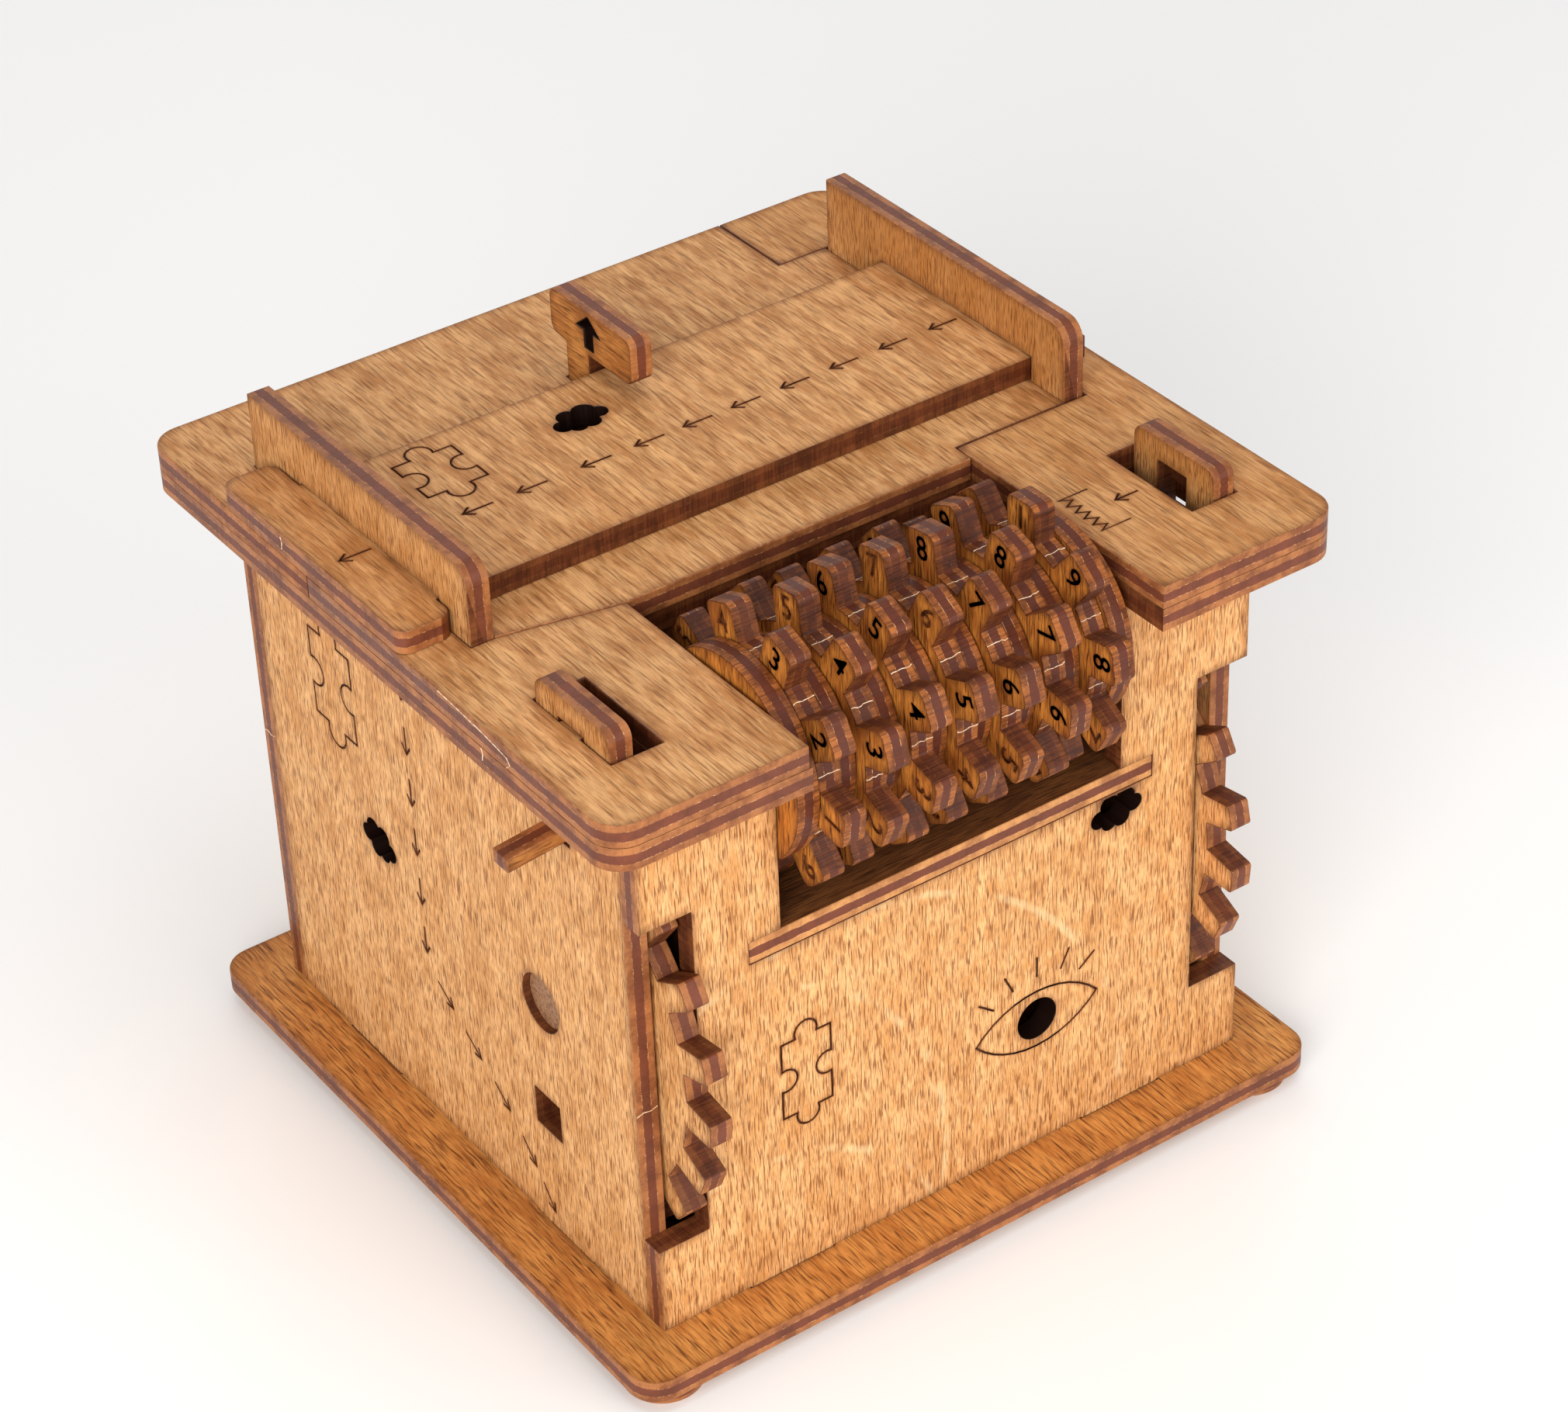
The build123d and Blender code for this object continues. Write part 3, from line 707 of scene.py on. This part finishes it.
def ridge(points, out, width, height):
    """Closed thin ridge of glue along a path of points in mm, raised towards out."""
    root = out * GLUE_ROOT
    bm = bmesh.new()
    rows = []
    for i, point in enumerate(points):
        ahead = (points[min(i + 1, len(points) - 1)] - points[max(i - 1, 0)]).normalized()
        side = ahead.cross(out).normalized() * width / 2
        section = (side - root, side * 0.5 + out * height, side * -0.5 + out * height, -side - root)
        rows.append([bm.verts.new(at(*(point + shift))) for shift in section])
    for a, b in zip(rows, rows[1:]):
        for k in range(4):
            bm.faces.new((a[k], a[(k + 1) % 4], b[(k + 1) % 4], b[k]))
    bm.faces.new(rows[0])
    bm.faces.new(rows[-1])
    bmesh.ops.recalc_face_normals(bm, faces=bm.faces)
    return bm


def glue_bridges(number):
    """Pale crooked glue line across the rim of a code disc, halfway between its tabs."""
    rng = random.Random(number)
    steps = 7
    lines = []
    for k in range(TABS):
        out = ring_out(number, k + 0.5)
        along = Vector((0, out.z, -out.y))
        foot = Vector((disc_left(number) + 0.05, drum_y, drum_z)) + out * RIM_R
        points = [foot + Vector((2.9 * i / steps, 0, 0)) + along * rng.uniform(-0.11, 0.11)
                  for i in range(steps + 1)]
        lines.append(ridge(points, out, 0.16, 0.04))
    made = joined(f"glue_lines_{number}", lines)
    made.data.materials.append(glue)
    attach(made, f"ring_{number}")


def glue_threads():
    """Thin pale threads of glue on a few outer edges: path, direction out of the wood, body."""
    left = (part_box("corner_plate_left")[0].x - corner.x) / MM
    plate_edge = ((26.5, 0.2), (22, 0.45), (18, 0.7), (14.6, 1.1), (12.6, 1.4), (12.0, 2.1), (12.8, 2.8))
    lower_edge = ((18.0, 3.1), (17.7, 3.7), (17.9, 4.7))
    lid_edge = ((60.4, 0.5), (60.1, 1.2), (60.3, 2.1))
    notch_edge = ((0.1, 30.8), (1.0, 31.1), (2.0, 30.9), (2.9, 31.2))
    rear_edge = ((85.8, 38.4), (85.0, 38.7), (84.1, 38.4), (83.2, 38.7))
    threads = (
        ("plate_edge", "left_plate", LEFT, [(left, y, deck_top - drop) for y, drop in plate_edge]),
        ("lower_edge", "case", LEFT, [(left, y, deck_top - drop) for y, drop in lower_edge]),
        ("lid_edge", "lid", LEFT, [(left, y, lid_top - drop) for y, drop in lid_edge]),
        ("notch_edge", "case", FRONT, [(x, 3, z) for x, z in notch_edge]),
        ("rear_edge", "case", LEFT, [(0, y, z) for y, z in rear_edge]))
    for name, body, way, path in threads:
        points = [Vector(point) for point in path]
        made = joined("glue_" + name, [ridge(points, Vector(way), 0.15, 0.06)])
        made.data.materials.append(glue)
        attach(made, body)


# ---- every board ------------------------------------------------------------------------
LOW_TONE = 0.35                  # lid end and right plate, a little browner than the rest


def upper_tone_and_shade(share):
    """Tone of a side wall: its rail and staple above the deck are browner than the rest, partly browner
    wood and partly painted shade for the weaker light above the deck.
    """
    return lambda co: share if co.z > at(0, 0, deck_top - 1).z else 0.0


def lid_tone(co):
    """The wide left end of the lid is browner than the rest."""
    return LOW_TONE if co.x < corner.x else 0.0


board("base_plate", "case", base_ply, "z", "y", "outer_ply")
for name in ("front_left", "front_right", "back_left", "back_right"):
    board("foot_" + name, "case", base_ply, "z", "y", "foot_ply")
board("front_wall", "case", front_ply, "y", "z", "outer_ply", cutters=front_wall_engravings())
board("back_wall", "case", wall_ply, "y", "z", "outer_ply")
# side walls: rails above the deck get browner wood and painted shade
board("left_wall", "case", wall_ply, "x", "z", "outer_ply", cutters=left_wall_engravings(),
      tone_and_shade=upper_tone_and_shade(0.5))
board("right_wall", "case", wall_ply, "x", "z", "outer_ply", tone_and_shade=upper_tone_and_shade(0.95))
# drum shelf with the drum's shadow painted on its faces
board("drum_shelf", "case", shelf_shadow_ply, "z", "x", "inner_ply")
# inner boards carry painted shade in their colour
board("partition_left", "case", inner_shade_ply, "x", "z", "inner_ply")
board("partition_right", "case", inner_shade_ply, "x", "z", "inner_ply")
board("cross_wall", "case", inner_shade_ply, "y", "z", "inner_ply")
board("top_lower", "case", top_ply, "z", "y", "outer_ply")
board("top_deck", "case", top_ply, "z", "y", "outer_ply")
board("corner_plate_left", "left_plate", top_ply, "z", "y", "outer_ply")
board("corner_plate_right", "right_plate", top_ply, "z", "y", "outer_ply",
      cutters=right_plate_engravings(), tone_and_shade=lambda co: LOW_TONE)
board("sliding_lid", "lid", top_ply, "z", "y", "outer_ply", cutters=lid_engravings(), tone_and_shade=lid_tone)
board("lock_pin", "pin", inner_ply, "x", "y", "outer_ply")
board("lock_pin_key", "pin", inner_ply, "z", "x", "inner_ply")
board("push_rod", "rod", inner_ply, "y", "x", "inner_ply")
for side in ("left", "right"):
    board("thumb_wheel_" + side, side + "_wheel", wall_ply, "x", "z", "outer_ply",
          burn=flanks("thumb_wheel_" + side))
    board("wheel_spacer_" + side, "case", inner_ply, "x", "z", "inner_ply")
    board("drum_collar_" + side, "case", disc_ply, "x", "z", "inner_ply")
    board("drum_end_" + side, "case", disc_ply, "x", "z", "inner_ply", burn=flanks("drum_end_" + side))
drum_burn = flanks("drum_end_left")
for number in range(1, RINGS + 1):
    board(f"code_disc_{number}", f"ring_{number}", disc_ply, "x", "z", "disc_ply",
          cutters=ring_digits(number), burn=drum_burn)
    if number < RINGS:
        board(f"spacer_disc_{number}", f"ring_{number}", disc_ply, "x", "z", "disc_ply", burn=drum_burn)
    glue_bridges(number)
glue_threads()
for name in ("drum_axle", "wheel_axle_left", "wheel_axle_right"):
    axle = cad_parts[name]
    axle.data.materials.clear()
    axle.data.materials.append(dowel)

# ---- camera -------------------------------------------------------------------------------
AZIMUTH, ELEVATION, ROLL = -34.26, 35.23, -2.26
DISTANCE = 0.5195
TARGET = at(49.69, 43.0, 44.03)


def looking(target, azimuth, elevation, distance):
    """Matrix of a camera or lamp that looks at the target; azimuth 0 is in front of the box."""
    a, e = math.radians(azimuth), math.radians(elevation)
    way = Vector((math.sin(a) * math.cos(e), -math.cos(a) * math.cos(e), math.sin(e)))
    turn = (-way).to_track_quat("-Z", "Y").to_matrix().to_4x4()
    return Matrix.Translation(target + way * distance) @ turn


camera_data = bpy.data.cameras.new("camera")
camera_data.sensor_width = 36
camera_data.lens = 96.77
camera_data.clip_start = 0.01
camera = bpy.data.objects.new("camera", camera_data)
camera.matrix_world = looking(TARGET, AZIMUTH, ELEVATION, DISTANCE) @ spun(ROLL)
bpy.context.scene.collection.objects.link(camera)
bpy.context.scene.camera = camera

# ---- floor and light ------------------------------------------------------------------------
FLOOR_R = 4.0
WHITE = (1, 1, 1)
WARM = (1.0, 0.97, 0.93)


def pale_floor():
    """Large matt floor with a barely uneven tint."""
    s = Shading("pale_floor")
    place = s.node("ShaderNodeTexCoord", output=3)
    cloudy = s.node("ShaderNodeTexNoise", Vector=place, Scale=3.0, Detail=2.0)
    colour = s.blend(cloudy, (0.93, 0.93, 0.93, 1), (0.90, 0.90, 0.90, 1))
    return s.finish(colour, 0.8, cloudy, bump=0.0)


floor_mesh = bpy.data.meshes.new("floor")
floor_bm = bmesh.new()
bmesh.ops.create_circle(floor_bm, cap_ends=True, radius=FLOOR_R, segments=64)
floor_bm.to_mesh(floor_mesh)
floor_bm.free()
floor = bpy.data.objects.new("floor", floor_mesh)
floor.location.z = cad_low.z
floor.data.materials.append(pale_floor())
bpy.context.scene.collection.objects.link(floor)


def soft_light(name, azimuth, elevation, distance, size, power, tint=WHITE):
    """Square softbox that looks at the middle of the box."""
    data = bpy.data.lights.new(name, "AREA")
    data.size = size
    data.energy = power
    data.color = tint
    lamp = bpy.data.objects.new(name, data)
    lamp.matrix_world = looking(at(body_w / 2, body_d / 2, 40), azimuth, elevation, distance)
    bpy.context.scene.collection.objects.link(lamp)
    lamp.visible_camera = False


# azimuth, elevation, distance and size in metres, power in watts
soft_light("key", -50, 24, 0.9, 0.5, 6.2, WARM)
soft_light("front", 14, 16, 1.0, 0.7, 4.2, WARM)
soft_light("overhead", 30, 78, 1.2, 0.9, 3.2)
soft_light("back", 160, 35, 1.2, 0.8, 2.0)
world = bpy.data.worlds.new("studio")
bpy.context.scene.world = world
world.use_nodes = True
world.node_tree.nodes["Background"].inputs["Color"].default_value = (*WHITE, 1)
world.node_tree.nodes["Background"].inputs["Strength"].default_value = 0.5
bpy.context.scene.view_settings.view_transform = "Standard"
